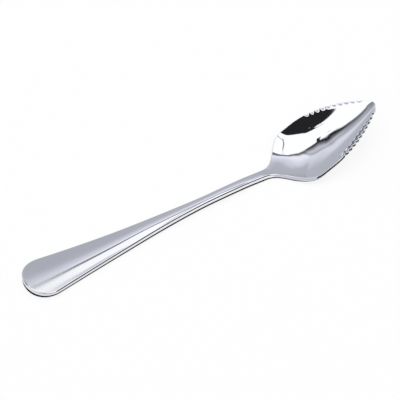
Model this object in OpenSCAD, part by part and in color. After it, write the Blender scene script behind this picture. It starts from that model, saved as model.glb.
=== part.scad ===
// Grapefruit spoon, pressed from one blank of stainless steel: a flared handle, a slim neck and a
// pointed bowl whose front half has a row of rounded teeth along each side of the rim.
// The handle's end is at -X and the bowl's tip at +X, the bowl opens upwards, and the spoon rests on
// z = 0 with the middle of its length over the origin.

/* [Overall] */
// Length from the handle's end to the bowl's tip
overall_len = 159; // [145:1:175]

/* [Handle] */
// Width at the flared end
end_w = 18.8; // [14:0.2:22]
// Distance from the end to the widest place
end_widest = 8; // [6:0.5:12]
// Length of the rounded end
end_round = 10; // [7:0.5:14]
// Distance from the end at which the flare has run out into the neck
flare_len = 81; // [70:1:95]
// How hollow the flare's long edges are: 1 is straight
flare_power = 1.5; // [1:0.1:2.2]
// Thickness of the edge at the handle's end
end_t = 1.8; // [1.3:0.05:2]
// Rise of the top face from its edges to its middle at the flared end
crown_h = 0.7; // [0.2:0.05:0.9]
// Drop of the underside from its edges to its middle at the flared end
belly_h = 0.45; // [0.3:0.05:0.6]

/* [Neck] */
// Width of the neck
neck_w = 3.9; // [3:0.1:6]
// Thickness of the neck's edge
neck_t = 2.5; // [2:0.1:3]
// Distance from the handle's end at which its edge has reached the neck's thickness
thick_len = 60; // [50:1:80]
// Distance from the handle's end at which the shoulders of the bowl begin
neck_end = 105; // [98:1:110]

/* [Bowl] */
// Width of the bowl
bowl_w = 29.5; // [24:0.5:34]
// Length of the shoulders, from the neck to full width
shoulder_len = 20; // [16:1:24]
// Distance from the tip back to the place where the front begins to narrow
front_len = 31; // [26:1:34]
// Share of the width that the pointed front loses beyond an ellipse
point_share = 0.42; // [0.2:0.02:0.6]
// Depth of the bowl below its rim at the deepest place
bowl_depth = 3.8; // [3.2:0.1:4.4]
// Thickness of the bowl's wall, measured straight down
wall_t = 1.3; // [1:0.05:1.5]

/* [Teeth] */
// Teeth along each side of the rim
teeth = 9; // [6:1:12]
// Distance from the tip back to the first notch
teeth_back = 23.5; // [20:0.5:26]
// Spacing of the teeth along the spoon
tooth_pitch = 2.15; // [1.6:0.05:2.2]
// Depth of the notches
tooth_depth = 0.55; // [0.3:0.05:0.8]

/* [Hidden] */

// Heights of the top edge: distance from the handle's end and height, in a spoon of the drawn length
EDGE_HEIGHTS = [
    [0, 2.5], [20, 2.35], [40, 2.5], [60, 3.1], [80, 3.3], [96, 3.15], [106, 2.45],
    [114, 1.95], [122, 3.75], [130, 6.85], [140, 10], [150, 12.5], [159, 13.8]
];
// Heights of the bowl's floor along its middle, in a bowl of the drawn depth
FLOOR_HEIGHTS = [
    [100, 2.9], [104, 2.7], [108, 2.05], [112, 1.6], [116, 1.3], [120, 1.42], [126, 2.25], [132, 3.8],
    [138, 5.75], [144, 7.8], [150, 10], [155, 12], [159, 13.8]
];
drawn_len = 159;
drawn_depth = 3.8;
len_scale = overall_len / drawn_len;

// Bevel that breaks the long edges, and the wider one along the top of the bowl's rim
bevel = 0.25;
rim_bevel = 0.45;
rim_bevel_h = 0.6;
// Width left at the two ends, where the outline closes
blunt = 0.3;
// Points across the top face, and the width of the plain lip outside them
across = 12;
lip = 1;
// Where the top face stops being a crown and starts being a bowl, and where the bowl is complete
dip_start = neck_end - 2;
dip_end = neck_end + 15;
// Length over which the crown gives way to the floor, and over which the neck's metal thins to the wall
floor_blend = 6;
thin_len = 22;
// Shares of the second, fourth and sixth power in the bowl's cross-section, which give it a flat floor
// and walls that ease off towards the rim
SECTION = [0.2, 1.68, -0.88];
// Stations along the spoon: round end, handle, shoulders, each tooth, tip
END_STEPS = 12;
HANDLE_STEP = 3;
SHOULDER_STEP = 1.5;
TOOTH_STEPS = 4;
TIP_STEPS = 8;

teeth_start = overall_len - teeth_back;
teeth_end = teeth_start + teeth * tooth_pitch;
front_start = overall_len - front_len;

function clamp01(t) = min(1, max(0, t));
// Rises smoothly from 0 to 1, with no slope and no curvature at either end
function ease(t) = let (u = clamp01(t)) u * u * u * (10 - 15 * u + 6 * u * u);
function mix(a, b, t) = a + (b - a) * t;

// Height on a smooth curve through a list of [distance, height]
function slope_at(pts, i) =
    let (a = max(0, i - 1), b = min(len(pts) - 1, i + 1))
    (pts[b][1] - pts[a][1]) / (pts[b][0] - pts[a][0]);
function hermite(pts, i, x) =
    let (
        h = pts[i + 1][0] - pts[i][0],
        t = (x - pts[i][0]) / h,
        t2 = t * t,
        t3 = t2 * t
    )
    (2 * t3 - 3 * t2 + 1) * pts[i][1] + (t3 - 2 * t2 + t) * h * slope_at(pts, i)
    + (3 * t2 - 2 * t3) * pts[i + 1][1] + (t3 - t2) * h * slope_at(pts, i + 1);
function curve(pts, x, i = 0) =
    i >= len(pts) - 2 || x <= pts[i + 1][0] ? hermite(pts, i, x) : curve(pts, x, i + 1);

function edge_z(s) = curve(EDGE_HEIGHTS, s / len_scale);

// Half of the handle's width, and the share of it that is left in the rounded end
function flare(s) =
    mix(neck_w / 2, end_w / 2, pow(max(0, (flare_len - s) / (flare_len - end_widest)), flare_power));
function end_rounding(s) = sqrt(1 - pow(clamp01(1 - (s + 0.01) / end_round), 2));
// Share of the width left at a place in the bowl's pointed front
function pointed(s) =
    let (v = clamp01((s - front_start) / front_len))
    sqrt(1 - v * v) * (1 - point_share * v * v);
// Half of the width anywhere along the spoon, as if the handle's end were cut off square
function body_width(s) =
    let (shoulder = (bowl_w - neck_w) / 2 * ease((s - neck_end) / shoulder_len))
    max(blunt, (flare(s) + shoulder) * pointed(s));
// Half of the width with the handle's rounded end, without teeth
function half_width(s) = max(blunt, body_width(s) * end_rounding(s));
// Depth of the notches at a place along the rim
function notch(s) =
    s <= teeth_start || s >= teeth_end ? 0
    : tooth_depth * (1 - abs(sin(180 * (s - teeth_start) / tooth_pitch)))
        * ease((s - teeth_start) / tooth_pitch + 0.5) * ease((teeth_end - s) / tooth_pitch + 0.5);

// Height of the top face along the middle of the spoon
function crown_z(s) = edge_z(s) + crown_h * body_width(s) / (end_w / 2);
function floor_line(s) = mix(edge_z(s), curve(FLOOR_HEIGHTS, s / len_scale), bowl_depth / drawn_depth);
function bowl_share(s) = ease((s - dip_start) / (dip_end - dip_start));
function middle_z(s) =
    s <= dip_start ? crown_z(s)
    : min(crown_z(s), mix(crown_z(s), floor_line(s), ease((s - dip_start) / floor_blend)));
function dish(u) = SECTION[0] * pow(u, 2) + SECTION[1] * pow(u, 4) + SECTION[2] * pow(u, 6);
// Height of the top face and of the underside at a place along and across the spoon
function top_z(s, y) =
    let (u = min(1, abs(y) / body_width(s)))
    mix(middle_z(s), edge_z(s), mix(u * u, dish(u), bowl_share(s)));
function thickness(s) =
    s < neck_end ? mix(end_t, neck_t, clamp01(s / thick_len))
    : mix(neck_t, wall_t, ease((s - neck_end) / thin_len));
function belly(s, y) =
    let (u = min(1, abs(y) / body_width(s)))
    (crown_h + belly_h) * body_width(s) / (end_w / 2) * (1 - u * u) * (1 - bowl_share(s));
// The underside stops at the surface that the spoon rests on, which leaves two flat lands
function under_z(s, y) = max(0, top_z(s, y) - thickness(s) - belly(s, y));

// Half of the places across the top face, from the middle to the edge
function places(s) =
    let (w = half_width(s), inner = w - min(lip, w / 3))
    [for (i = [0:across / 2]) inner * sin(90 * i / (across / 2))];
// One cross-section, as points that run over the top face and back along the underside
function ring(s) =
    let (
        half = places(s),
        edge = half_width(s) - notch(s),
        b = min(bevel, edge / 4),
        top_b = min(mix(bevel, rim_bevel, bowl_share(s)), edge / 4),
        top_h = min(mix(bevel, rim_bevel_h, bowl_share(s)), edge / 2),
        n = across / 2,
        inner = [for (i = [-n:n]) sign(i) * half[abs(i)]],
        top_row = concat([-edge + top_b], inner, [edge - top_b]),
        under_row = concat([edge - b], [for (i = [len(inner) - 1:-1:0]) inner[i]], [-edge + b]),
        x = s - overall_len / 2,
        side_top = top_z(s, edge) - top_h,
        side_bottom = under_z(s, edge) + b
    )
    concat(
        [for (y = top_row) [x, y, top_z(s, y)]],
        [[x, edge, side_top], [x, edge, side_bottom]],
        [for (y = under_row) [x, y, under_z(s, y)]],
        [[x, -edge, side_bottom], [x, -edge, side_top]]
    );

// The quads that close a cross-section of m points, each between the top face and the underside
function cap_quads(m) =
    let (row = (m - 4) / 2)
    concat(
        [for (j = [0:row - 2]) [j, j + 1, 2 * row - j, 2 * row + 1 - j]],
        [[row - 1, row, row + 1, row + 2], [0, 2 * row + 1, 2 * row + 2, 2 * row + 3]]
    );

// A closed solid through the cross-sections at a list of stations
module skin(stations) {
    rings = [for (s = stations) ring(s)];
    m = len(rings[0]);
    n = len(rings);
    side_faces = [
        for (i = [0:n - 2])
            for (j = [0:m - 1])
                let (a = i * m + j, b = i * m + (j + 1) % m)
                each [[a, b, b + m], [a, b + m, a + m]]
    ];
    last = (n - 1) * m;
    caps = [
        for (q = cap_quads(m))
            each [
                [q[2], q[1], q[0]],
                [q[3], q[2], q[0]],
                [last + q[0], last + q[1], last + q[2]],
                [last + q[0], last + q[2], last + q[3]]
            ]
    ];
    polyhedron(points = [for (r = rings) each r], faces = concat(side_faces, caps));
}

function steps(from, to, count) = [for (i = [1:count]) mix(from, to, i / count)];

module handle() {
    round_stations = [for (i = [0:END_STEPS]) end_round * (1 - cos(90 * i / END_STEPS))];
    rest = steps(end_round, neck_end, ceil((neck_end - end_round) / HANDLE_STEP));
    color("silver") skin(concat(round_stations, rest));
}

module bowl() {
    shoulders = steps(neck_end, teeth_start, ceil((teeth_start - neck_end) / SHOULDER_STEP));
    toothed = steps(teeth_start, teeth_end, teeth * TOOTH_STEPS);
    tip_len = overall_len - teeth_end;
    tip = [for (i = [1:TIP_STEPS]) teeth_end + tip_len * sin(90 * i / TIP_STEPS)];
    color("gainsboro") skin(concat([neck_end], shoulders, toothed, tip));
}

handle();
bowl();
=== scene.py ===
# %% [markdown]
# A grapefruit spoon is one pressing of stainless steel, polished until it works like a mirror.
# A mirror has almost no colour of its own, so three things make its look: the exact curve of each
# surface, the rounding of each edge, and the room that it reflects. The lesson takes them in that
# order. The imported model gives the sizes, and every length below is in metres.

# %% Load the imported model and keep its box
import math

import bpy
import numpy as np
from mathutils import Euler, Matrix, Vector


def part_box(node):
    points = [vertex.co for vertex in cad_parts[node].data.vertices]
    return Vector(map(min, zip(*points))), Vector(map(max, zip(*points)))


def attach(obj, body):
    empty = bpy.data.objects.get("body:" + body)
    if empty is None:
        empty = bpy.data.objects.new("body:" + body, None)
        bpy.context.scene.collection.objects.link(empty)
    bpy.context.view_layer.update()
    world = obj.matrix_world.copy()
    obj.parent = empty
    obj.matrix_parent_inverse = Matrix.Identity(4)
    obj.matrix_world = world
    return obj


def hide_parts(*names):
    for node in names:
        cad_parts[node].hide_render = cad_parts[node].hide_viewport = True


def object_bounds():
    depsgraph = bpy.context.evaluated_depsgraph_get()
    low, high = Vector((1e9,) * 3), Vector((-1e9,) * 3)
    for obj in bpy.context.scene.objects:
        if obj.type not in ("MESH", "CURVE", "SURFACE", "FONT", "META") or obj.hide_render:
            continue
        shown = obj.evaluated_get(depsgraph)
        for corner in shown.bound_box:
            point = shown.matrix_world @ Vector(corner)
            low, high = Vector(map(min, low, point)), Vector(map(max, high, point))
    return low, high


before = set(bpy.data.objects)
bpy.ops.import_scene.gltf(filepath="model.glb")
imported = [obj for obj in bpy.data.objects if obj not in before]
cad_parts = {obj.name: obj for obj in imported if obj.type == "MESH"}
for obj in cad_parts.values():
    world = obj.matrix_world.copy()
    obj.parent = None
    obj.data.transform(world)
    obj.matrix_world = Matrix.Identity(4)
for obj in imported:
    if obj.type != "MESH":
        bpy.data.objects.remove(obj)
cad_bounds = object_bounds()
MM = 0.001
(x_end, y_low, z_low), (x_tip, y_high, z_high) = cad_bounds
LENGTH = x_tip - x_end
BOWL_W = y_high - y_low
NECK_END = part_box("bowl")[0][0] - x_end
print("length, bowl width and height in mm:", [round(v / MM, 2) for v in (LENGTH, BOWL_W, z_high - z_low)])

# %% [markdown]
# The spoon's outline and its side view follow a handful of sizes: the flared end, the slim neck, the
# shoulders and the pointed bowl. Writing them as functions of the distance from the handle's end
# means that one mesh can follow all of them, with no seam where the handle meets the bowl.

# %% Sizes of the handle and the neck
# Width at the flared end, the distance from the end to it, and the length of the rounded end
END_W = 18.8 * MM
END_WIDEST = 8 * MM
END_ROUND = 10 * MM
# Distance at which the flare has run out into the neck, and how hollow its long edges are: 1 is straight
FLARE_LEN = 81 * MM
FLARE_POWER = 1.5
# Thickness of the edge, the rise of the top face and the drop of the underside at the flared end
END_T = 1.8 * MM
CROWN_H = 0.7 * MM
BELLY_H = 0.45 * MM
# Width of the neck, its thickness, and the distance at which the handle's edge has reached that
NECK_W = 3.9 * MM
NECK_T = 2.5 * MM
THICK_LEN = 60 * MM
print("widths of the flared end and the neck in mm:", round(END_W / MM, 2), round(NECK_W / MM, 2))

# %% Sizes of the bowl
# Lengths of the shoulders, from the neck to full width, and of the front, which narrows to the tip
SHOULDER_LEN = 20 * MM
FRONT_LEN = 31 * MM
# Share of the width that the pointed front loses beyond an ellipse
POINT_SHARE = 0.42
# Thickness of the wall, and the length over which the neck's metal thins to it
WALL_T = 1.3 * MM
THIN_LEN = 22 * MM
# Shares of the second, fourth and sixth power in the bowl's cross-section
SECTION = (0.2, 1.68, -0.88)
# Where the crown of the handle begins to turn into the bowl, the length over which its cross-section
# does so, and the shorter one over which the middle sinks to the floor
DIP_START = NECK_END - 2 * MM
DIP_LEN = 17 * MM
FLOOR_BLEND = 6 * MM
# Half of the width that is kept at the very tip, so that nothing is divided by zero
LEAST_WIDTH = 0.01 * MM
print("lengths of the shoulders and the front in mm:", round(SHOULDER_LEN / MM, 2), round(FRONT_LEN / MM, 2))

# %% Heights of the top edge and of the bowl's floor at places along the spoon
EDGE_PLACES = np.array([0, 20, 40, 60, 80, 96, 106, 114, 122, 130, 140, 150, 159]) * MM
EDGE_HEIGHTS = np.array([2.5, 2.35, 2.5, 3.1, 3.3, 3.15, 2.45, 1.95, 3.75, 6.85, 10, 12.5, 13.8]) * MM
FLOOR_PLACES = np.array([100, 104, 108, 112, 116, 120, 126, 132, 138, 144, 150, 155, 159]) * MM
FLOOR_HEIGHTS = np.array([2.9, 2.7, 2.05, 1.6, 1.3, 1.42, 2.25, 3.8, 5.75, 7.8, 10, 12, 13.8]) * MM
print("lowest place of the bowl's floor in mm:", round(FLOOR_HEIGHTS.min() / MM, 2))


# %% Functions that give the shape at a distance from the handle's end
def ease(t):
    """Rises smoothly from 0 to 1, with no slope and no curvature at either end."""
    t = np.clip(t, 0, 1)
    return t * t * t * (10 - 15 * t + 6 * t * t)


def mix(a, b, t):
    return a + (b - a) * t


def smooth_curve(x, h, s):
    """Height at s on a smooth curve through the heights h at the places x."""
    every, last = np.arange(len(x)), len(x) - 1
    before, after = np.clip(every - 1, 0, None), np.clip(every + 1, None, last)
    slope = (h[after] - h[before]) / (x[after] - x[before])
    i = np.clip(np.searchsorted(x, s) - 1, 0, last - 1)
    gap = x[i + 1] - x[i]
    t = (s - x[i]) / gap
    return (
        (2 * t**3 - 3 * t**2 + 1) * h[i]
        + (t**3 - 2 * t**2 + t) * gap * slope[i]
        + (3 * t**2 - 2 * t**3) * h[i + 1]
        + (t**3 - t**2) * gap * slope[i + 1]
    )


def edge_height(s):
    return smooth_curve(EDGE_PLACES, EDGE_HEIGHTS, s)


def body_width(s):
    """Half of the width, as if the handle's end were cut off square."""
    taper = np.clip((FLARE_LEN - s) / (FLARE_LEN - END_WIDEST), 0, None)
    flare = mix(NECK_W / 2, END_W / 2, taper**FLARE_POWER)
    shoulder = (BOWL_W - NECK_W) / 2 * ease((s - NECK_END) / SHOULDER_LEN)
    v = np.clip((s - (LENGTH - FRONT_LEN)) / FRONT_LEN, 0, 1)
    width = (flare + shoulder) * np.sqrt(1 - v * v) * (1 - POINT_SHARE * v * v)
    return np.maximum(width, LEAST_WIDTH)


def half_width(s):
    """Half of the width, without the teeth."""
    width = body_width(s) * np.sqrt(1 - np.clip(1 - s / END_ROUND, 0, 1) ** 2)
    return np.where(s < LENGTH, width, 0)


def bowl_share(s):
    """0 on the handle and 1 in the bowl."""
    return ease((s - DIP_START) / DIP_LEN)


def middle_height(s):
    """Height of the top face along the middle: a low crown on the handle, the floor in the bowl."""
    crown = edge_height(s) + CROWN_H * body_width(s) / (END_W / 2)
    floor = smooth_curve(FLOOR_PLACES, FLOOR_HEIGHTS, s)
    dipped = np.minimum(crown, mix(crown, floor, ease((s - DIP_START) / FLOOR_BLEND)))
    return np.where(s <= DIP_START, crown, dipped)


def top_height(s, y):
    """Height of the top face: the bowl has a flat floor, and its walls ease off towards the rim."""
    u = np.clip(np.abs(y) / body_width(s), 0, 1)
    dish = SECTION[0] * u**2 + SECTION[1] * u**4 + SECTION[2] * u**6
    return mix(middle_height(s), edge_height(s), mix(u * u, dish, bowl_share(s)))


def under_height(s, y):
    """Height of the underside, which stops at the surface that the spoon rests on."""
    w = body_width(s)
    u = np.clip(np.abs(y) / w, 0, 1)
    thick = np.where(
        s < NECK_END,
        mix(END_T, NECK_T, np.clip(s / THICK_LEN, 0, 1)),
        mix(NECK_T, WALL_T, ease((s - NECK_END) / THIN_LEN)),
    )
    belly = (CROWN_H + BELLY_H) * w / (END_W / 2) * (1 - u * u) * (1 - bowl_share(s))
    return np.maximum(top_height(s, y) - thick - belly, 0)


CHECK_PLACES = np.array([8, 50, 100, 128]) * MM
print("half widths in mm:", [round(float(w / MM), 1) for w in half_width(CHECK_PLACES)])

# %% [markdown]
# A mesh of rings across the spoon would leave its two ends square. Here the edge is a strip that runs
# right round the outline instead. Round the handle its two corners are rounded, with an upright wall
# between them. Round the bowl its top corner is ground to a steep slope, because that is where the
# teeth are cut. The top face and the underside are grids that meet this strip, so each highlight
# runs unbroken round the handle's end and the bowl's tip.

# %% Stations along the outline, which lie closest at the two ends and along the teeth
END_STEPS = 40
HANDLE_STEP = 0.8 * MM
BOWL_STEP = 0.5 * MM
RIM_STEP = 0.14 * MM
# Distance from the tip at which the close stations for the teeth begin
TEETH_BACK = 24 * MM
TIP_LEN = 4 * MM
TIP_STEPS = 36

tip_start = LENGTH - TIP_LEN
quarter = np.linspace(0, math.pi / 2, END_STEPS)
stations = np.concatenate([
    END_ROUND * (1 - np.cos(quarter)),
    np.arange(END_ROUND + HANDLE_STEP, NECK_END, HANDLE_STEP),
    np.arange(NECK_END, LENGTH - TEETH_BACK, BOWL_STEP),
    np.arange(LENGTH - TEETH_BACK, tip_start, RIM_STEP),
    tip_start + (LENGTH - tip_start) * np.sin(np.linspace(0, math.pi / 2, TIP_STEPS)),
])
print("stations along the spoon:", len(stations))


# %% The outline and the direction that points out of it
def outline(s):
    """Places on the +Y half of the outline and the outward direction at each."""
    y = half_width(s)
    dx, dy = np.gradient(s), np.gradient(y)
    size = np.hypot(dx, dy)
    out = np.stack([-dy, dx], 1) / size[:, None]
    out[0], out[-1] = (-1, 0), (1, 0)
    return np.stack([s, y], 1), out


widest = outline(stations)[0][:, 1].max()
print("largest half width on the outline in mm:", round(float(widest / MM), 2))

# %% Steps down the edge
# Radii of the handle's corners
ROUND_TOP = 0.55 * MM
ROUND_UNDER = 0.35 * MM
# Width and steepness of the ground slope round the bowl, the width over which the top face turns into
# it, and the radius of the corner below it
RIM_WIDTH = 0.6 * MM
RIM_SLOPE = 1.9
RIM_TURN = 0.2 * MM
RIM_UNDER = 0.2 * MM
EDGE_STEPS = 9


def edge_steps():
    """Steps from the top face to the underside: how far inside the outline, and how far from that face."""
    share = bowl_share(stations)
    radius = mix(ROUND_UNDER, RIM_UNDER, share)
    turns = np.linspace(0, math.pi / 2, EDGE_STEPS)
    steps = []
    for a, gone in zip(turns, np.linspace(0, RIM_WIDTH, EDGE_STEPS)):
        fall = gone**2 / (2 * RIM_TURN) if gone < RIM_TURN else gone - RIM_TURN / 2
        inset = mix(ROUND_TOP * (1 - math.sin(a)), RIM_WIDTH - gone, share)
        steps.append((inset, "top", mix(ROUND_TOP * (1 - math.cos(a)), RIM_SLOPE * fall, share)))
    for a in turns:
        steps.append((radius * (1 - math.cos(a)), "under", radius * (1 - math.sin(a))))
    return steps


print("steps from the top face to the underside:", len(edge_steps()))

# %% The smooth spoon, as the strip and the two faces inside it
# Faces across the spoon, and how far in from the edge the cut of the teeth fades out
ACROSS = 36
PULL_FADE = 0.9 * MM


def press_blank():
    """Vertices, faces and rim data of the smooth spoon, before its teeth are cut."""
    places, out = outline(stations)
    count = len(stations)
    points, faces = [], []
    # How far a notch moves a vertex, its distance from the tip, and its way inwards
    data = {"pull": [], "along": [], "inward": []}
    travel = LENGTH - stations

    def add(x, y, z, pull, along, inward):
        """Adds a run of vertices and returns the number of each."""
        first = len(points)
        x, y, z, pull, along = np.broadcast_arrays(x, y, z, pull, along)
        points.extend(zip(x + x_end, y, z))
        data["pull"].extend(pull)
        data["along"].extend(along)
        data["inward"].extend(np.column_stack([inward, np.zeros(len(x))]))
        return list(range(first, first + len(x)))

    def loop(inset, side, drop):
        """One closed loop of vertices round the outline, first along +Y and then back along -Y."""
        p = places - out * inset[:, None]
        p[:, 1] = np.maximum(p[:, 1], 0)
        face = top_height if side == "top" else under_height
        z = face(p[:, 0], p[:, 1]) + (-drop if side == "top" else drop)
        ids = add(p[:, 0], p[:, 1], z, 1, travel, -out)
        back = slice(count - 2, 0, -1)
        ids += add(p[back, 0], -p[back, 1], z[back], 1, travel[back], out[back] * (-1, 1))
        return ids, p

    def face_grid(ids, p, height, upward):
        """Fills the inside of a loop with rows across the spoon, and each end with a fan."""
        turn = -np.cos(math.pi * np.arange(1, ACROSS) / ACROSS)
        side = np.sign(turn)[:, None]
        rows = [[ids[0]]]
        for i in range(1, count - 1):
            y = p[i, 1] * turn
            z = height(np.full(ACROSS - 1, p[i, 0]), y)
            pull = np.clip(1 - (p[i, 1] - np.abs(y)) / PULL_FADE, 0, 1) ** 2
            inward = np.hstack([np.full((ACROSS - 1, 1), -out[i, 0]), -side * out[i, 1]])
            rows.append([ids[2 * count - 2 - i], *add(p[i, 0], y, z, pull, travel[i], inward), ids[i]])
        rows.append([ids[count - 1]])
        for a, b in zip(rows, rows[1:]):
            if len(a) == 1 or len(b) == 1:
                pole, row = (a[0], b) if len(a) == 1 else (b[0], a)
                fan = [(pole, row[j], row[j + 1]) for j in range(ACROSS)]
                turned = (len(a) == 1) == upward
                faces.extend(f[::-1] if turned else f for f in fan)
            else:
                quads = [(a[j], b[j], b[j + 1], a[j + 1]) for j in range(ACROSS)]
                faces.extend(q if upward else q[::-1] for q in quads)

    loops = [loop(*step) for step in edge_steps()]
    for (upper, _), (lower, _) in zip(loops, loops[1:]):
        n = len(upper)
        faces.extend((upper[(i + 1) % n], lower[(i + 1) % n], lower[i], upper[i]) for i in range(n))
    face_grid(*loops[0], top_height, True)
    face_grid(*loops[-1], under_height, False)
    return points, faces, data


# %% The blank, with what the teeth need to know kept on its vertices
def add_object(name, data):
    """Puts data into the scene as an object of that name."""
    thing = bpy.data.objects.new(name, data)
    bpy.context.scene.collection.objects.link(thing)
    return thing


verts, faces, rim = press_blank()
mesh = bpy.data.meshes.new("spoon_blank")
mesh.from_pydata(verts, [], faces)
mesh.validate()
for name, kind, field in (
    ("pull", "FLOAT", "value"), ("along", "FLOAT", "value"), ("inward", "FLOAT_VECTOR", "vector")
):
    layer = mesh.attributes.new(name, kind, "POINT")
    layer.data.foreach_set(field, np.array(rim[name], dtype=np.float32).ravel())
blank = add_object("spoon_blank", mesh)
print("blank:", len(mesh.vertices), "vertices,", len(mesh.polygons), "faces")

# %% [markdown]
# The teeth are ground into the front half of the rim, alike on both sides. They repeat at an even
# spacing, so a Geometry Nodes tree cuts them: it reads how far from the tip each vertex lies and
# moves the edge inwards at each notch, which leaves a rounded tooth between two of them. Its named
# inputs are the sizes that a toolmaker would give.

# %% Sizes of the teeth
TOOTH_SIZES = {"Pitch": 2.15 * MM, "Depth": 0.5 * MM, "First notch from tip": 4.15 * MM, "Teeth": 9.0}
HALF_TOOTH = 0.5
print("length of each row of teeth in mm:", round(TOOTH_SIZES["Teeth"] * TOOTH_SIZES["Pitch"] / MM, 2))


# %% Two helpers that add a node with its inputs
def math_node(tree, operation, a, b=None):
    node = tree.nodes.new("ShaderNodeMath")
    node.operation = operation
    for socket, value in zip(node.inputs, (a, b)):
        if isinstance(value, (int, float)):
            socket.default_value = value
        elif value is not None:
            tree.links.new(value, socket)
    return node.outputs[0]


def smooth_step(tree, value, start, end, low=0.0, high=1.0):
    """Goes smoothly from low to high as the value goes from start to end."""
    node = tree.nodes.new("ShaderNodeMapRange")
    node.interpolation_type = "SMOOTHSTEP"
    for name, number in (("Value", value), ("From Min", start), ("From Max", end)):
        if isinstance(number, (int, float)):
            node.inputs[name].default_value = number
        else:
            tree.links.new(number, node.inputs[name])
    node.inputs["To Min"].default_value = low
    node.inputs["To Max"].default_value = high
    return node.outputs["Result"]


# %% A tree that cuts the teeth
def teeth_tree():
    tree = bpy.data.node_groups.new("Cut the rim teeth", "GeometryNodeTree")
    interface = tree.interface
    interface.new_socket("Geometry", in_out="INPUT", socket_type="NodeSocketGeometry")
    for name, value in TOOTH_SIZES.items():
        socket = interface.new_socket(name, in_out="INPUT", socket_type="NodeSocketFloat")
        socket.default_value = value
    interface.new_socket("Finish", in_out="INPUT", socket_type="NodeSocketMaterial")
    interface.new_socket("Geometry", in_out="OUTPUT", socket_type="NodeSocketGeometry")
    new, link = tree.nodes.new, tree.links.new
    given, result = new("NodeGroupInput"), new("NodeGroupOutput")

    def read(name, kind="FLOAT"):
        node = new("GeometryNodeInputNamedAttribute")
        node.data_type = kind
        node.inputs["Name"].default_value = name
        return node.outputs["Attribute"]

    travel = math_node(tree, "SUBTRACT", read("along"), given.outputs["First notch from tip"])
    turns = math_node(tree, "DIVIDE", travel, given.outputs["Pitch"])
    angle = math_node(tree, "MULTIPLY", turns, math.pi)
    wave = math_node(tree, "ABSOLUTE", math_node(tree, "SINE", angle))
    notch = math_node(tree, "SUBTRACT", 1.0, wave)
    begun = math_node(tree, "GREATER_THAN", turns, -HALF_TOOTH)
    row_end = math_node(tree, "ADD", given.outputs["Teeth"], HALF_TOOTH)
    going = math_node(tree, "LESS_THAN", turns, row_end)
    within = math_node(tree, "MULTIPLY", begun, going)
    amount = math_node(tree, "MULTIPLY", math_node(tree, "MULTIPLY", notch, within), read("pull"))
    depth = math_node(tree, "MULTIPLY", amount, given.outputs["Depth"])
    push = new("ShaderNodeVectorMath")
    push.operation = "SCALE"
    link(read("inward", "FLOAT_VECTOR"), push.inputs[0])
    link(depth, push.inputs["Scale"])
    move = new("GeometryNodeSetPosition")
    link(given.outputs["Geometry"], move.inputs["Geometry"])
    link(push.outputs[0], move.inputs["Offset"])
    real = new("GeometryNodeRealizeInstances")
    link(move.outputs[0], real.inputs[0])
    paint = new("GeometryNodeSetMaterial")
    link(real.outputs[0], paint.inputs["Geometry"])
    link(given.outputs["Finish"], paint.inputs["Material"])
    link(paint.outputs[0], result.inputs[0])
    return tree


tooth_cutter = teeth_tree()
print("tree that cuts the teeth:", len(tooth_cutter.nodes), "nodes")


# %% Run a tree and keep the result as a plain mesh
def apply_tree(source, tree, name, values):
    """Runs a tree on an object and returns the result as a new object with a plain mesh."""
    modifier = source.modifiers.new(tree.name, "NODES")
    modifier.node_group = tree
    for item in tree.interface.items_tree:
        if item.item_type == "SOCKET" and item.in_out == "INPUT" and item.name in values:
            modifier[item.identifier] = values[item.name]
    evaluated = source.evaluated_get(bpy.context.evaluated_depsgraph_get())
    made = bpy.data.meshes.new_from_object(evaluated)
    source.modifiers.remove(modifier)
    made.name = name
    piece = add_object(name, made)
    bpy.data.objects.remove(source)
    return piece


# %% [markdown]
# Polished stainless steel is a slightly cool grey mirror. Up close it isn't perfect: the polishing
# wheel leaves hair-fine lines along the spoon, and fingers leave faint soft patches that are a little
# less sharp. A node group makes both, so that any polished piece can use it with its own values. The
# flared end is held most, so the metal is a little duller there. Its colour is also darker there,
# which is painted shade on the handle's end.

# %% A helper that starts a node group
def shader_group(name, inputs, outputs):
    group = bpy.data.node_groups.new(name, "ShaderNodeTree")
    for label, kind, value in inputs:
        socket = group.interface.new_socket(label, in_out="INPUT", socket_type=kind)
        if value is not None:
            socket.default_value = value
    for label, kind in outputs:
        group.interface.new_socket(label, in_out="OUTPUT", socket_type=kind)
    return group, group.nodes.new("NodeGroupInput"), group.nodes.new("NodeGroupOutput")


# %% A node group for the polish
# Stretch of the fine lines along the spoon, and how much they add to the roughness
LINE_STRETCH = 0.03
LINE_ROUGHNESS = 0.02
LINE_DETAIL = 3
PATCH_DETAIL = 4
# Values of the noise between which a soft patch comes in
PATCH_FROM = 0.45
PATCH_TO = 0.75
# What the group starts with, before a material sets its own values
POLISH_INPUTS = {
    "Line spacing": 0.2 * MM, "Patch size": 20 * MM, "Base roughness": 0.05, "Patch roughness": 0.05
}


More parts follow.
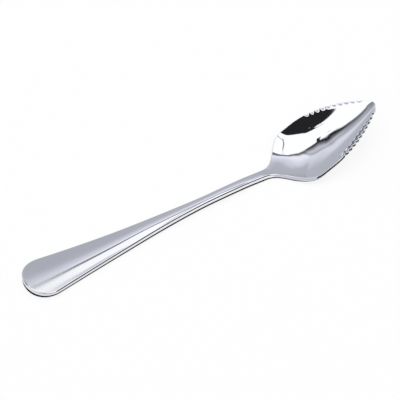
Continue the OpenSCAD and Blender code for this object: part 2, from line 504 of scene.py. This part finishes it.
def polish_group():
    group, given, result = shader_group(
        "Wheel polish",
        [
            ("Vector", "NodeSocketVector", None),
            *((name, "NodeSocketFloat", value) for name, value in POLISH_INPUTS.items()),
        ],
        (("Roughness", "NodeSocketFloat"), ("Height", "NodeSocketFloat"), ("Tone", "NodeSocketFloat")),
    )
    new, link = group.nodes.new, group.links.new
    stretch = new("ShaderNodeMapping")
    stretch.inputs["Scale"].default_value = (LINE_STRETCH, 1, 1)
    link(given.outputs["Vector"], stretch.inputs["Vector"])
    lines = new("ShaderNodeTexNoise")
    lines.inputs["Detail"].default_value = LINE_DETAIL
    link(stretch.outputs[0], lines.inputs["Vector"])
    link(math_node(group, "DIVIDE", 1.0, given.outputs["Line spacing"]), lines.inputs["Scale"])
    patches = new("ShaderNodeTexNoise")
    patches.inputs["Detail"].default_value = PATCH_DETAIL
    link(given.outputs["Vector"], patches.inputs["Vector"])
    link(math_node(group, "DIVIDE", 1.0, given.outputs["Patch size"]), patches.inputs["Scale"])
    soft = new("ShaderNodeMapRange")
    soft.inputs["From Min"].default_value = PATCH_FROM
    soft.inputs["From Max"].default_value = PATCH_TO
    link(patches.outputs["Fac"], soft.inputs["Value"])
    extra = math_node(group, "MULTIPLY", soft.outputs[0], given.outputs["Patch roughness"])
    fine = math_node(group, "MULTIPLY", lines.outputs["Fac"], LINE_ROUGHNESS)
    added = math_node(group, "ADD", extra, fine)
    rough = math_node(group, "ADD", given.outputs["Base roughness"], added)
    link(rough, result.inputs["Roughness"])
    link(lines.outputs["Fac"], result.inputs["Height"])
    link(patches.outputs["Fac"], result.inputs["Tone"])
    return group


wheel_polish = polish_group()
print("polish group:", len(wheel_polish.nodes), "nodes")

# %% The steel
POLISH = {"Line spacing": 0.25 * MM, "Patch size": 22 * MM, "Patch roughness": 0.02}
STEEL_DARK = (0.80, 0.81, 0.85, 1)
STEEL_LIGHT = (0.86, 0.87, 0.905, 1)
# Places along the spoon between which the held, duller end gives way to bright metal: start, end, and the
# roughness or the share of the colour at each. The smaller share of the colour at the end is painted shade.
HELD_ROUGHNESS = (-78 * MM, -48 * MM, 0.11, 0.015)
END_PAINTED_SHADE = (-65 * MM, 0.0, 0.92, 1.0)
LINE_STRENGTH = 0.06
LINE_HEIGHT = 0.01 * MM


def polished_steel():
    material = bpy.data.materials.new("polished_steel")
    material.use_nodes = True
    tree = material.node_tree
    nodes, link = tree.nodes, tree.links.new
    shader = nodes["Principled BSDF"]
    shader.inputs["Metallic"].default_value = 1
    place = nodes.new("ShaderNodeTexCoord")
    polish = nodes.new("ShaderNodeGroup")
    polish.node_tree = wheel_polish
    for name, value in POLISH.items():
        polish.inputs[name].default_value = value
    link(place.outputs["Object"], polish.inputs["Vector"])
    tone = nodes.new("ShaderNodeMix")
    tone.data_type = "RGBA"
    tone.inputs["A"].default_value = STEEL_DARK
    tone.inputs["B"].default_value = STEEL_LIGHT
    link(polish.outputs["Tone"], tone.inputs["Factor"])
    split = nodes.new("ShaderNodeSeparateXYZ")
    link(place.outputs["Object"], split.inputs[0])
    x = split.outputs["X"]
    link(smooth_step(tree, x, *HELD_ROUGHNESS), polish.inputs["Base roughness"])
    # The colour is darkened towards the flared end: painted shade.
    darkened_end = nodes.new("ShaderNodeVectorMath")
    darkened_end.operation = "SCALE"
    link(tone.outputs["Result"], darkened_end.inputs[0])
    link(smooth_step(tree, x, *END_PAINTED_SHADE), darkened_end.inputs["Scale"])
    link(darkened_end.outputs[0], shader.inputs["Base Color"])
    link(polish.outputs["Roughness"], shader.inputs["Roughness"])
    bump = nodes.new("ShaderNodeBump")
    bump.inputs["Strength"].default_value = LINE_STRENGTH
    bump.inputs["Distance"].default_value = LINE_HEIGHT
    link(polish.outputs["Height"], bump.inputs["Height"])
    link(bump.outputs[0], shader.inputs["Normal"])
    return material


steel = polished_steel()
print("steel:", len(steel.node_tree.nodes), "nodes")

# %% Cut the teeth and finish the spoon
spoon = apply_tree(blank, tooth_cutter, "pressed_spoon", {**TOOTH_SIZES, "Finish": steel})
spoon.data.shade_smooth()
print("spoon:", len(spoon.data.polygons), "faces")

# %% The spoon stands for both CAD regions and rides on the one body
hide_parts("handle", "bowl")
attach(spoon, "root")
print(spoon.name, "stands for handle and bowl")

# %% [markdown]
# The camera stands over the handle's near side and looks along the spoon, down by about 47 degrees,
# through a long lens. Its place comes from matching the spoon's outline in the photo.

# %% Camera
LOOK_FROM_AZIMUTH = 31.0
LOOK_DOWN = 46.9
DISTANCE = 0.6385
AIM = (-0.00279, 0.00045, 0.00351)
LENS = 148.7
SENSOR = 36
NEAREST = 0.01
ROLL = 1.36

turn, down = math.radians(LOOK_FROM_AZIMUTH), math.radians(LOOK_DOWN)
TOWARDS_BACK = (math.sin(turn), math.cos(turn))
camera_data = bpy.data.cameras.new("camera")
camera_data.lens = LENS
camera_data.sensor_width = SENSOR
camera_data.clip_start = NEAREST
camera = add_object("camera", camera_data)
camera.location = (
    AIM[0] - DISTANCE * math.cos(down) * TOWARDS_BACK[0],
    AIM[1] - DISTANCE * math.cos(down) * TOWARDS_BACK[1],
    AIM[2] + DISTANCE * math.sin(down),
)
level = Euler((math.pi / 2 - down, 0, -turn)).to_matrix()
camera.rotation_euler = (level @ Matrix.Rotation(math.radians(-ROLL), 3, "Z")).to_euler()
bpy.context.scene.camera = camera
print("camera at", [round(v, 3) for v in camera.location])

# %% [markdown]
# The room matters as much as the metal. A photographer shoots polished cutlery in a white tent: a
# bright roof, a greyer back wall with a dark seam between them, a dark gap where the camera looks in
# and an open side. The world shader paints all of it. It writes a direction as the place where that
# direction meets a level ceiling one unit up: X to the camera's right and Y away from the camera. The
# camera itself sees plain white.

# %% A soft patch, which the tent uses for its dark places and its frame
PATCH_INPUTS = {"X": 0, "Y": 0, "Left": 0, "Right": 1, "Low": 0, "High": 1, "Slant": 0, "Edge": 0.02}


def patch_group():
    """1 inside a box that leans by Slant, and 0 outside, with soft edges."""
    group, given, result = shader_group(
        "Soft patch",
        [(name, "NodeSocketFloat", value) for name, value in PATCH_INPUTS.items()],
        (("Mask", "NodeSocketFloat"),),
    )
    sockets = given.outputs
    lean = math_node(group, "MULTIPLY", sockets["Slant"], sockets["Y"])
    x = math_node(group, "SUBTRACT", sockets["X"], lean)

    def inside(value, low, high):
        rise = smooth_step(group, math_node(group, "SUBTRACT", value, low), 0.0, sockets["Edge"])
        fall = smooth_step(group, math_node(group, "SUBTRACT", high, value), 0.0, sockets["Edge"])
        return math_node(group, "MULTIPLY", rise, fall)

    across = inside(x, sockets["Left"], sockets["Right"])
    along = inside(sockets["Y"], sockets["Low"], sockets["High"])
    group.links.new(math_node(group, "MULTIPLY", across, along), result.inputs["Mask"])
    return group


soft_patch = patch_group()
print("patch group:", len(soft_patch.nodes), "nodes")

# %% [markdown]
# Where the roof ends and where the back wall starts changes from left to right, so both are written
# as curves. In the bowl they make the line between the bright half and the grey half, and on the
# handle they make the dark line along it. Their places were moved until each line fell where the
# photo shows it. Between the two lies the seam. Its greys are a little different at the far left, at
# the left, in the middle and at the right.

# %% Where the roof ends and where the back wall starts, as pairs of X and Y
ROOF_ENDS = (
    (-0.58, -0.1), (-0.56, 0.12), (-0.545, 0.31), (-0.532, 0.43), (-0.509, 0.485), (-0.491, 0.505),
    (-0.475, 0.515), (-0.461, 0.52), (-0.447, 0.522), (-0.4375, 0.517), (-0.432, 0.511), (-0.4255, 0.507),
    (-0.408, 0.508), (-0.39, 0.51), (-0.377, 0.515), (-0.365, 0.528), (-0.352, 0.54), (-0.313, 0.565),
    (-0.275, 0.592), (-0.215, 0.635), (-0.15, 0.688), (-0.1, 0.705), (-0.05, 0.715), (0.08, 0.72),
    (0.2, 0.7), (0.4, 0.65),
)
WALL_STARTS = (
    (-0.725, 0.95), (-0.69, 0.915), (-0.62, 0.84), (-0.58, 0.79), (-0.54, 0.745), (-0.51, 0.695),
    (-0.47, 0.672), (-0.43, 0.668), (-0.34, 0.675), (-0.3, 0.68), (-0.25, 0.685), (-0.2, 0.7),
    (-0.135, 0.745), (-0.075, 0.76), (-0.025, 0.775), (0.05, 0.79), (0.2, 0.79), (0.4, 0.78),
)
print("the roof's edge is drawn with", len(ROOF_ENDS), "places and the wall's with", len(WALL_STARTS))

# %% Greys across the seam: 0 is where the roof ends, 1 where the wall starts, and more is on the wall
WHITE = 1.2
SEAM_RIGHT = (
    (-1, WHITE), (-0.1, WHITE), (0, 1.0), (0.12, 0.4), (0.25, 0.1), (0.5, 0.1), (0.65, 0.35), (0.8, 0.65),
    (1, 0.95), (1.04, 0.9), (1.1, 0.78), (1.14, 0.74), (1.2, 0.67), (1.26, 0.57), (1.4, 0.52), (2, 0.5),
    (3, 0.44),
)
SEAM_MIDDLE = (
    (-1, WHITE), (-0.1, WHITE), (0, 1.0), (0.15, 0.4), (0.3, 0.12), (0.5, 0.12), (0.7, 0.35), (0.85, 0.7),
    (1, 1.0), (1.03, 0.95), (1.06, 0.82), (1.12, 0.74), (1.17, 0.65), (1.22, 0.57), (1.3, 0.53), (2, 0.5),
    (3, 0.44),
)
SEAM_LEFT = (
    (-1, WHITE), (-0.04, WHITE), (0.02, 0.7), (0.06, 0.15), (0.1, 0.0), (0.14, 0.0), (0.2, 0.07),
    (0.27, 0.16), (0.34, 0.27), (0.41, 0.38), (0.48, 0.56), (0.57, 0.64), (0.67, 0.6), (0.78, 0.5),
    (0.9, 0.49), (0.96, 0.56), (1.0, 0.7), (1.04, 0.82), (1.1, 0.78), (1.3, 0.68), (1.5, 0.6),
    (1.7, 0.545), (3, 0.54),
)
SEAM_FAR_LEFT = (
    (-1, WHITE), (-0.1, 1.15), (0, 0.95), (0.06, 0.6), (0.12, 0.28), (0.18, 0.16), (0.28, 0.16), (0.4, 0.2),
    (0.5, 0.27), (0.62, 0.36), (0.75, 0.44), (0.88, 0.47), (0.96, 0.56), (1, 0.75), (1.06, 0.84),
    (1.12, 0.8), (1.3, 0.7), (1.5, 0.6), (1.7, 0.54), (3, 0.52),
)
# Each row of greys with the X over which it takes over from the one before it
SEAMS = ((SEAM_LEFT, -0.52, -0.45), (SEAM_MIDDLE, -0.3, -0.22), (SEAM_RIGHT, -0.03, 0.03))
print("darkest grey in the seam:", min(grey for _, grey in SEAM_LEFT))

# %% Dark and grey patches: the camera in its gap, the open side and front, and the tent's frame
# BLACK, FRAME, GREY and PALE are their shades. FAR stands for a side that has no end in sight. The
# wedge makes the small dark spur on the line in the bowl. The frame's bar is pale at its foot, where
# the handle would mirror it as a second dark line.
BLACK, FRAME, GREY, PALE = 0.02, 0.15, 0.6, 0.7
FAR = 60
PATCHES = {
    "camera": dict(Left=-0.215, Right=-0.15, Low=-0.58, High=0.065, Slant=-0.1, Edge=0.01, shade=BLACK),
    "camera shoulder": dict(
        Left=-0.215, Right=-0.115, Low=-0.2, High=0.062, Slant=-0.7, Edge=0.01, shade=BLACK
    ),
    "camera body": dict(Left=-0.2, Right=0.06, Low=-0.6, High=-0.105, Slant=-0.1, Edge=0.01, shade=BLACK),
    "wedge": dict(Left=-0.404, Right=-0.366, Low=0.458, High=0.53, Edge=0.006, shade=BLACK),
    "open side": dict(Left=0.35, Right=FAR, Low=-FAR, High=-0.02, Slant=-0.84, Edge=0.06, shade=BLACK),
    "dark front": dict(Left=0.1, Right=FAR, Low=-FAR, High=-1.55, Edge=0.15, shade=BLACK),
    "grey front": dict(Left=-FAR, Right=0.4, Low=-FAR, High=-0.7, Edge=0.15, shade=GREY),
    "frame bar": dict(Left=0.032, Right=0.066, Low=0.125, High=0.545, Slant=0.04, Edge=0.01, shade=FRAME),
    "frame foot": dict(Left=0.032, Right=0.066, Low=0.53, High=0.72, Slant=0.04, Edge=0.01, shade=PALE),
    "frame top": dict(Left=0.02, Right=0.1, Low=0.108, High=0.137, Edge=0.01, shade=FRAME),
}
print("patches in the tent:", ", ".join(PATCHES))

# %% Helpers that mix the tent's colours
# How much bluer the shaded cloth is than white cloth, and how much red and green it loses for that
COOL = 0.08
LESS_RED = COOL / 3
LESS_GREEN = COOL / 8
# Where a new stop of a ramp waits until it gets its own place
HALF_WAY = 0.5


def cool_colour(grey):
    """The colour of a patch, which has a little more blue in it."""
    return grey, grey, (1 + COOL) * grey, 1


def ramp_of(tree, value, stops, tinted=True):
    """A ramp through the stops: plain, or tinted as the tent's shaded cloth is."""
    first, last = stops[0][0], stops[-1][0]
    place = tree.nodes.new("ShaderNodeMapRange")
    place.inputs["From Min"].default_value = first
    place.inputs["From Max"].default_value = last
    tree.links.new(value, place.inputs["Value"])
    node = tree.nodes.new("ShaderNodeValToRGB")
    while len(node.color_ramp.elements) < len(stops):
        node.color_ramp.elements.new(HALF_WAY)
    for element, (at, grey) in zip(node.color_ramp.elements, stops):
        element.position = (at - first) / (last - first)
        if tinted and grey < 1:
            element.color = (grey * (1 - LESS_RED), grey * (1 - LESS_GREEN), grey * (1 + COOL), 1)
        else:
            element.color = (grey, grey, grey, 1)
    tree.links.new(place.outputs["Result"], node.inputs["Fac"])
    return node.outputs["Color"]


def mix_colour(tree, factor, a, b):
    node = tree.nodes.new("ShaderNodeMix")
    node.data_type = "RGBA"
    tree.links.new(factor, node.inputs["Factor"])
    for name, value in (("A", a), ("B", b)):
        if isinstance(value, tuple):
            node.inputs[name].default_value = value
        else:
            tree.links.new(value, node.inputs[name])
    return node.outputs["Result"]


print("colour of a black patch:", [round(v, 3) for v in cool_colour(BLACK)])

# %% The tent
TOWARDS_RIGHT = (math.cos(turn), -math.sin(turn))
# Least height of a direction, which keeps X and Y finite near the horizon
LOWEST = 0.03


def tent_world():
    world = bpy.data.worlds.new("tent")
    bpy.context.scene.world = world
    world.use_nodes = True
    tree = world.node_tree
    nodes, link = tree.nodes, tree.links.new
    nodes.clear()
    place = nodes.new("ShaderNodeTexCoord")
    split = nodes.new("ShaderNodeSeparateXYZ")
    link(place.outputs["Generated"], split.inputs[0])

    def towards(axis):
        east = math_node(tree, "MULTIPLY", split.outputs["X"], axis[0])
        north = math_node(tree, "MULTIPLY", split.outputs["Y"], axis[1])
        return math_node(tree, "ADD", east, north)

    height = math_node(tree, "MAXIMUM", split.outputs["Z"], LOWEST)
    x = math_node(tree, "DIVIDE", towards(TOWARDS_RIGHT), height)
    y = math_node(tree, "DIVIDE", towards(TOWARDS_BACK), height)
    roof = ramp_of(tree, x, ROOF_ENDS, False)
    wall = ramp_of(tree, x, WALL_STARTS, False)
    above = math_node(tree, "SUBTRACT", y, roof)
    seam = math_node(tree, "DIVIDE", above, math_node(tree, "SUBTRACT", wall, roof))
    seam = math_node(tree, "MINIMUM", seam, 1.0)
    beyond = math_node(tree, "MAXIMUM", math_node(tree, "SUBTRACT", y, wall), 0.0)
    across_seam = math_node(tree, "ADD", seam, beyond)
    colour = ramp_of(tree, across_seam, SEAM_FAR_LEFT)
    for stops, start, end in SEAMS:
        taken_over = smooth_step(tree, x, start, end)
        colour = mix_colour(tree, taken_over, colour, ramp_of(tree, across_seam, stops))
    for name, sizes in PATCHES.items():
        node = nodes.new("ShaderNodeGroup")
        node.node_tree = soft_patch
        node.label = name
        link(x, node.inputs["X"])
        link(y, node.inputs["Y"])
        for socket, value in sizes.items():
            if socket != "shade":
                node.inputs[socket].default_value = value
        colour = mix_colour(tree, node.outputs["Mask"], colour, cool_colour(sizes["shade"]))
    room = nodes.new("ShaderNodeBackground")
    link(colour, room.inputs["Color"])
    plain = nodes.new("ShaderNodeBackground")
    plain.inputs["Color"].default_value = (1, 1, 1, 1)
    seen = nodes.new("ShaderNodeLightPath")
    choose = nodes.new("ShaderNodeMixShader")
    link(seen.outputs["Is Camera Ray"], choose.inputs[0])
    link(room.outputs[0], choose.inputs[1])
    link(plain.outputs[0], choose.inputs[2])
    result = nodes.new("ShaderNodeOutputWorld")
    link(choose.outputs[0], result.inputs[0])


tent_world()
print("world nodes:", len(bpy.context.scene.world.node_tree.nodes))

# %% [markdown]
# The spoon lies on a white sheet that runs out of the picture. Most of what the camera and the metal
# see of it is a white glow, and the rest is matte, so that a faint shadow stays under the spoon.

# %% Floor
# Half of its width, and how far it lies below the spoon, so that the two never share a plane
FLOOR_HALF = 1.5
FLOOR_DROP = 0.1 * MM
FLOOR_TONE = (0.9, 0.9, 0.9, 1)
GLOW_SHARE = 0.88


def pale_floor():
    data = bpy.data.meshes.new("floor")
    r = FLOOR_HALF
    data.from_pydata([(-r, -r, 0), (r, -r, 0), (r, r, 0), (-r, r, 0)], [], [(0, 1, 2, 3)])
    floor = add_object("floor", data)
    floor.location.z = -FLOOR_DROP
    material = bpy.data.materials.new("floor")
    material.use_nodes = True
    tree = material.node_tree
    nodes, link = tree.nodes, tree.links.new
    nodes.clear()
    matte = nodes.new("ShaderNodeBsdfDiffuse")
    matte.inputs["Color"].default_value = FLOOR_TONE
    glow = nodes.new("ShaderNodeEmission")
    glow.inputs["Color"].default_value = (1, 1, 1, 1)
    ray = nodes.new("ShaderNodeLightPath")
    share = nodes.new("ShaderNodeMixShader")
    seen_or_mirrored = math_node(tree, "ADD", ray.outputs["Is Camera Ray"], ray.outputs["Is Glossy Ray"])
    link(math_node(tree, "MULTIPLY", seen_or_mirrored, GLOW_SHARE), share.inputs[0])
    link(matte.outputs[0], share.inputs[1])
    link(glow.outputs[0], share.inputs[2])
    out = nodes.new("ShaderNodeOutputMaterial")
    link(share.outputs[0], out.inputs[0])
    data.materials.append(material)


pale_floor()
print("floor, metres across:", 2 * FLOOR_HALF)

# %% [markdown]
# The lower part of the spoon's near edge mirrors the floor right beside it. In the photo that part is
# nearly black, and grey at the bowl's heel, because hardly any light gets in there. Two thin sheets
# on the floor stand for that lack of light: only reflections see them. How far a sheet reaches is
# worked out at each place of the outline: it is as far as a share of the edge's height mirrors it.

# %% Sheets beside the spoon that only reflections see
# How far a sheet reaches on the side that the camera doesn't see
SIDE_MARGIN = 0.3 * MM


def underlay(name, share, shade, depth):
    """A glowing sheet of painted shade beside the spoon, as far out as a share of the edge's height mirrors
    it.
    """
    places, out = outline(stations[1:-1:2])
    rise = mix(under_height(*places.T), top_height(*places.T), share(places[:, 0]))
    view = math.cos(down) * np.array(TOWARDS_BACK)
    rows = []
    for side in (-1, 1):
        normal = out * (1, side)
        facing = normal @ view
        reach = (view - 2 * facing[:, None] * normal) * (rise / math.sin(down))[:, None]
        margin = np.where(facing[:, None] < 0, reach, SIDE_MARGIN * normal)
        rows.append(places * (1, side) + margin)
    n = len(places)
    points = [(x + x_end, y, 0) for row in rows for x, y in row]
    data = bpy.data.meshes.new(name)
    data.from_pydata(points, [], [(i, i + 1, n + i + 1, n + i) for i in range(n - 1)])
    sheet = add_object(name, data)
    sheet.location.z = -depth
    material = bpy.data.materials.new(name)
    material.use_nodes = True
    nodes = material.node_tree.nodes
    nodes.clear()
    glow = nodes.new("ShaderNodeEmission")
    glow.inputs["Color"].default_value = cool_colour(shade)
    result = nodes.new("ShaderNodeOutputMaterial")
    material.node_tree.links.new(glow.outputs[0], result.inputs[0])
    data.materials.append(material)
    sheet.visible_camera = False
    sheet.visible_shadow = False
    sheet.visible_diffuse = False


# %% The dark sheet and the grey one at the heel
# Places along the spoon, and the share of the edge's height that mirrors the dark sheet there
DARK_PLACES = np.array([0, 104, 112, 118, 122]) * MM
DARK_SHARES = (0.45, 0.45, 0.3, 0.4, 0.9)
# The sheets lie between the spoon and the floor, the grey one below the dark one
DARK_DEPTH = 0.05 * MM
GREY_DEPTH = 0.07 * MM
# The grey sheet's share is largest at the heel, and about a third of that a HEEL_LEN away from it
HEEL = 117 * MM
HEEL_LEN = 8 * MM
HEEL_SHARE = 1.6
HEEL_GREY = 0.45


def dark_share(s):
    return np.interp(s, DARK_PLACES, DARK_SHARES)


def heel_share(s):
    return HEEL_SHARE * np.exp(-(((s - HEEL) / HEEL_LEN) ** 4))


# Both sheets are painted shade: dark beside the edge, grey at the heel.
underlay("painted_contact_shade_sheet", dark_share, BLACK, DARK_DEPTH)
underlay("painted_heel_shade_sheet", heel_share, HEEL_GREY, GREY_DEPTH)
print("shares at the heel, dark and grey:", round(float(dark_share(HEEL)), 2), heel_share(HEEL))

# %% [markdown]
# One weak softbox hangs over the spoon. It only serves the matte floor, where it makes the faint
# shadow, so the metal doesn't mirror it.

# %% Softbox
LAMP_SIZE = 0.8
LAMP_ENERGY = 3
LAMP_PLACE = (0.0, 0.1, 0.9)

lamp_data = bpy.data.lights.new("softbox", "AREA")
lamp_data.size = LAMP_SIZE
lamp_data.energy = LAMP_ENERGY
lamp = add_object("softbox", lamp_data)
lamp.location = LAMP_PLACE
lamp.visible_glossy = False
print("softbox at a height of", LAMP_PLACE[2], "m")

# %% [markdown]
# The Standard view transform shows a colour about as it is written.

# %% Render settings that belong to the look
bpy.context.scene.view_settings.view_transform = "Standard"
print("view transform:", bpy.context.scene.view_settings.view_transform)
